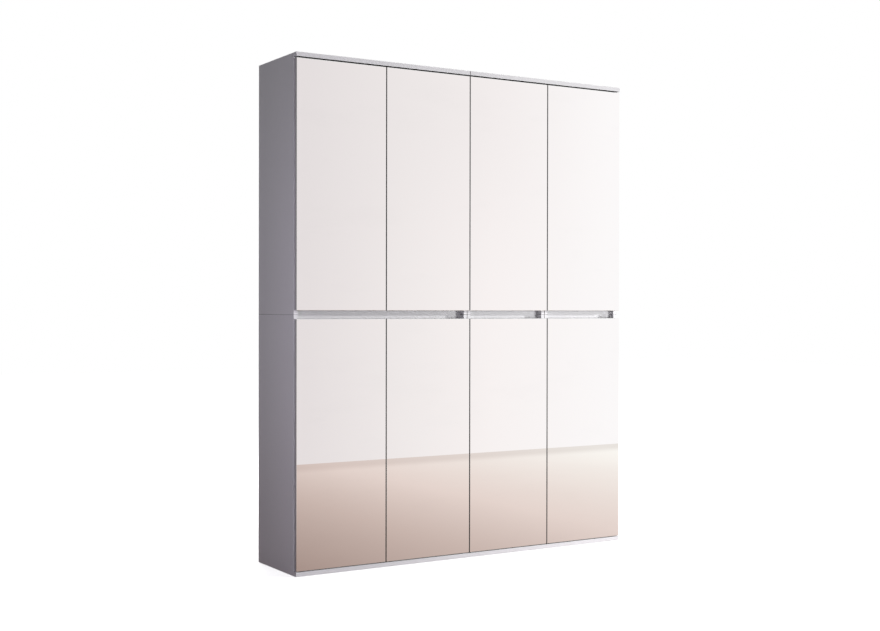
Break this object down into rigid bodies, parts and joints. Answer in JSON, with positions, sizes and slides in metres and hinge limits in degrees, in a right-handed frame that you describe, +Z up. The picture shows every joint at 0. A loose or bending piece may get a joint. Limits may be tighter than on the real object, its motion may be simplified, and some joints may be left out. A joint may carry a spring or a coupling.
{
  "type": "hallway mirror cabinet",
  "caption": "Tall white hallway cabinet in stacked modules, with mirrored doors above and below a finger recess, shelves inside and concealed hinges.",
  "frame": {"origin": "on the floor, under the middle of the cabinet in width and depth", "axes": "+Z up, +X to the right as seen from the front, +Y towards the wall, so the mirrors face -Y"},
  "size_m": [1.5, 0.335, 1.91],
  "materials": {
    "white_board": "fine-textured white melamine on chipboard, edges banded",
    "white_hardboard": "white lacquered hardboard",
    "mirror_glass": "silvered float glass with polished edges",
    "nickel_steel": "nickel-plated pressed steel",
    "zinc_steel": "zinc-plated, dull",
    "white_plastic": "moulded plastic"
  },
  "bodies": {
    "cabinet": {"wide_lower_sides": "white_board", "wide_lower_top": "white_board", "wide_lower_bottom": "white_board", "wide_upper_sides": "white_board", "wide_upper_top": "white_board", "wide_upper_bottom": "white_board", "middle_lower_sides": "white_board", "middle_lower_top": "white_board", "middle_lower_bottom": "white_board", "middle_upper_sides": "white_board", "middle_upper_top": "white_board", "middle_upper_bottom": "white_board", "right_lower_sides": "white_board", "right_lower_top": "white_board", "right_lower_bottom": "white_board", "right_upper_sides": "white_board", "right_upper_top": "white_board", "right_upper_bottom": "white_board", "wide_shelves": "white_board", "middle_shelves": "white_board", "right_shelves": "white_board", "backs": "white_hardboard", "hinge_arms": "nickel_steel", "shelf_pins": "nickel_steel", "glides": "white_plastic", "cam_fittings": "zinc_steel", "unit_bolts": "nickel_steel", "wall_brackets": "zinc_steel"},
    "lower_hinge_links_1": {"lower_hinge_links_1": "nickel_steel"},
    "lower_door_1": {"lower_door_1": "white_board", "lower_mirror_1": "mirror_glass", "lower_hinge_cups_1": "nickel_steel"},
    "lower_hinge_links_2": {"lower_hinge_links_2": "nickel_steel"},
    "lower_door_2": {"lower_door_2": "white_board", "lower_mirror_2": "mirror_glass", "lower_hinge_cups_2": "nickel_steel"},
    "lower_hinge_links_3": {"lower_hinge_links_3": "nickel_steel"},
    "lower_door_3": {"lower_door_3": "white_board", "lower_mirror_3": "mirror_glass", "lower_hinge_cups_3": "nickel_steel"},
    "lower_hinge_links_4": {"lower_hinge_links_4": "nickel_steel"},
    "lower_door_4": {"lower_door_4": "white_board", "lower_mirror_4": "mirror_glass", "lower_hinge_cups_4": "nickel_steel"},
    "upper_hinge_links_1": {"upper_hinge_links_1": "nickel_steel"},
    "upper_door_1": {"upper_door_1": "white_board", "upper_mirror_1": "mirror_glass", "upper_hinge_cups_1": "nickel_steel"},
    "upper_hinge_links_2": {"upper_hinge_links_2": "nickel_steel"},
    "upper_door_2": {"upper_door_2": "white_board", "upper_mirror_2": "mirror_glass", "upper_hinge_cups_2": "nickel_steel"},
    "upper_hinge_links_3": {"upper_hinge_links_3": "nickel_steel"},
    "upper_door_3": {"upper_door_3": "white_board", "upper_mirror_3": "mirror_glass", "upper_hinge_cups_3": "nickel_steel"},
    "upper_hinge_links_4": {"upper_hinge_links_4": "nickel_steel"},
    "upper_door_4": {"upper_door_4": "white_board", "upper_mirror_4": "mirror_glass", "upper_hinge_cups_4": "nickel_steel"}
  },
  "joints": [
    {"name": "lower_links_1_turn", "type": "hinge", "parent": "cabinet", "child": "lower_hinge_links_1", "pos_m": [-0.7145, -0.1265, 0.48], "axis": [0, 0, -1], "range_deg": [-22, 0]},
    {"name": "lower_door_1_swing", "type": "hinge", "parent": "lower_hinge_links_1", "child": "lower_door_1", "pos_m": [-0.7387, -0.1555, 0.48], "axis": [0, 0, -1], "range_deg": [0, 117]},
    {"name": "lower_links_2_turn", "type": "hinge", "parent": "cabinet", "child": "lower_hinge_links_2", "pos_m": [-0.0355, -0.1265, 0.48], "axis": [0, 0, 1], "range_deg": [-22, 0]},
    {"name": "lower_door_2_swing", "type": "hinge", "parent": "lower_hinge_links_2", "child": "lower_door_2", "pos_m": [-0.0113, -0.1555, 0.48], "axis": [0, 0, 1], "range_deg": [0, 117]},
    {"name": "lower_links_3_turn", "type": "hinge", "parent": "cabinet", "child": "lower_hinge_links_3", "pos_m": [0.3395, -0.1265, 0.48], "axis": [0, 0, 1], "range_deg": [-22, 0]},
    {"name": "lower_door_3_swing", "type": "hinge", "parent": "lower_hinge_links_3", "child": "lower_door_3", "pos_m": [0.3637, -0.1555, 0.48], "axis": [0, 0, 1], "range_deg": [0, 117]},
    {"name": "lower_links_4_turn", "type": "hinge", "parent": "cabinet", "child": "lower_hinge_links_4", "pos_m": [0.7145, -0.1265, 0.48], "axis": [0, 0, 1], "range_deg": [-22, 0]},
    {"name": "lower_door_4_swing", "type": "hinge", "parent": "lower_hinge_links_4", "child": "lower_door_4", "pos_m": [0.7387, -0.1555, 0.48], "axis": [0, 0, 1], "range_deg": [0, 117]},
    {"name": "upper_links_1_turn", "type": "hinge", "parent": "cabinet", "child": "upper_hinge_links_1", "pos_m": [-0.7145, -0.1265, 1.43], "axis": [0, 0, -1], "range_deg": [-22, 0]},
    {"name": "upper_door_1_swing", "type": "hinge", "parent": "upper_hinge_links_1", "child": "upper_door_1", "pos_m": [-0.7387, -0.1555, 1.43], "axis": [0, 0, -1], "range_deg": [0, 117]},
    {"name": "upper_links_2_turn", "type": "hinge", "parent": "cabinet", "child": "upper_hinge_links_2", "pos_m": [-0.0355, -0.1265, 1.43], "axis": [0, 0, 1], "range_deg": [-22, 0]},
    {"name": "upper_door_2_swing", "type": "hinge", "parent": "upper_hinge_links_2", "child": "upper_door_2", "pos_m": [-0.0113, -0.1555, 1.43], "axis": [0, 0, 1], "range_deg": [0, 117]},
    {"name": "upper_links_3_turn", "type": "hinge", "parent": "cabinet", "child": "upper_hinge_links_3", "pos_m": [0.3395, -0.1265, 1.43], "axis": [0, 0, 1], "range_deg": [-22, 0]},
    {"name": "upper_door_3_swing", "type": "hinge", "parent": "upper_hinge_links_3", "child": "upper_door_3", "pos_m": [0.3637, -0.1555, 1.43], "axis": [0, 0, 1], "range_deg": [0, 117]},
    {"name": "upper_links_4_turn", "type": "hinge", "parent": "cabinet", "child": "upper_hinge_links_4", "pos_m": [0.7145, -0.1265, 1.43], "axis": [0, 0, 1], "range_deg": [-22, 0]},
    {"name": "upper_door_4_swing", "type": "hinge", "parent": "upper_hinge_links_4", "child": "upper_door_4", "pos_m": [0.7387, -0.1555, 1.43], "axis": [0, 0, 1], "range_deg": [0, 117]}
  ],
  "couplings": [
    {"joint": "lower_links_1_turn", "follows": "lower_door_1_swing", "ratio": -0.18699},
    {"joint": "lower_links_2_turn", "follows": "lower_door_2_swing", "ratio": -0.18699},
    {"joint": "lower_links_3_turn", "follows": "lower_door_3_swing", "ratio": -0.18699},
    {"joint": "lower_links_4_turn", "follows": "lower_door_4_swing", "ratio": -0.18699},
    {"joint": "upper_links_1_turn", "follows": "upper_door_1_swing", "ratio": -0.18699},
    {"joint": "upper_links_2_turn", "follows": "upper_door_2_swing", "ratio": -0.18699},
    {"joint": "upper_links_3_turn", "follows": "upper_door_3_swing", "ratio": -0.18699},
    {"joint": "upper_links_4_turn", "follows": "upper_door_4_swing", "ratio": -0.18699}
  ]
}
